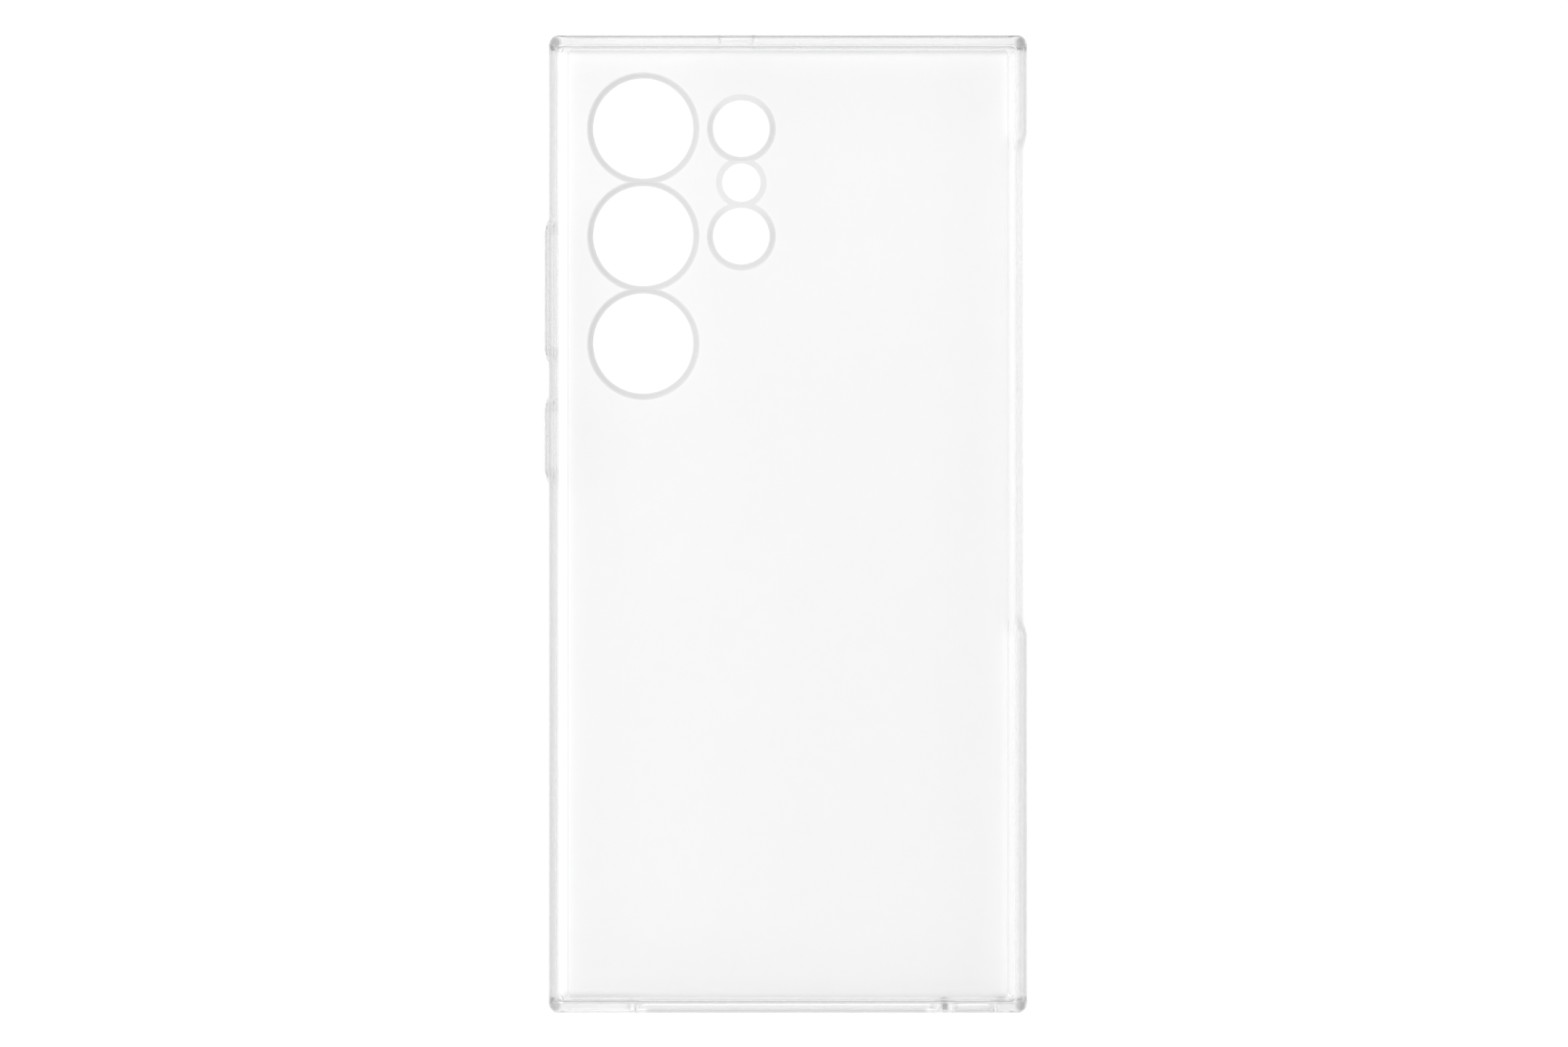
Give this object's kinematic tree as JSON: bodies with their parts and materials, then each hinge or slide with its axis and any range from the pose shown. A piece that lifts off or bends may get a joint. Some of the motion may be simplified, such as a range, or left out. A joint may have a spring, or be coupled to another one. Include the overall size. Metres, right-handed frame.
{
  "type": "phone case",
  "caption": "Clear two-shot phone case: hard back with beaded camera apertures in a flexible frame with pressable key covers.",
  "frame": {"origin": "middle of the phone's outline, on the plane of the front rim that the case lies on", "axes": "+Y to the top of the phone, +Z out of the back, keys on the -X side"},
  "size_m": [0.0825, 0.1666, 0.012],
  "materials": {
    "clear_polycarbonate": "polished clear",
    "clear_elastomer": "glossy clear elastomer",
    "clear_elastomer_key": "glossy clear elastomer",
    "clear_elastomer_web": "satin clear elastomer"
  },
  "bodies": {
    "case": {"back_panel": "clear_polycarbonate", "bumper_frame": "clear_elastomer", "volume_web": "clear_elastomer_web", "side_key_web": "clear_elastomer_web"},
    "volume": {"volume_bar": "clear_elastomer_key"},
    "side": {"side_key": "clear_elastomer_key"}
  },
  "joints": [
    {"name": "volume_rock", "type": "hinge", "parent": "case", "child": "volume", "pos_m": [-0.04, 0.0397, 0.00575], "axis": [0, 0, 1], "range_deg": [-1.2, 1.2], "stiffness_Nm_per_rad": 0.8},
    {"name": "side_key_press", "type": "slide", "parent": "case", "child": "side", "axis": [1, 0, 0], "range_m": [0, 0.00035], "stiffness_N_per_m": 400}
  ]
}
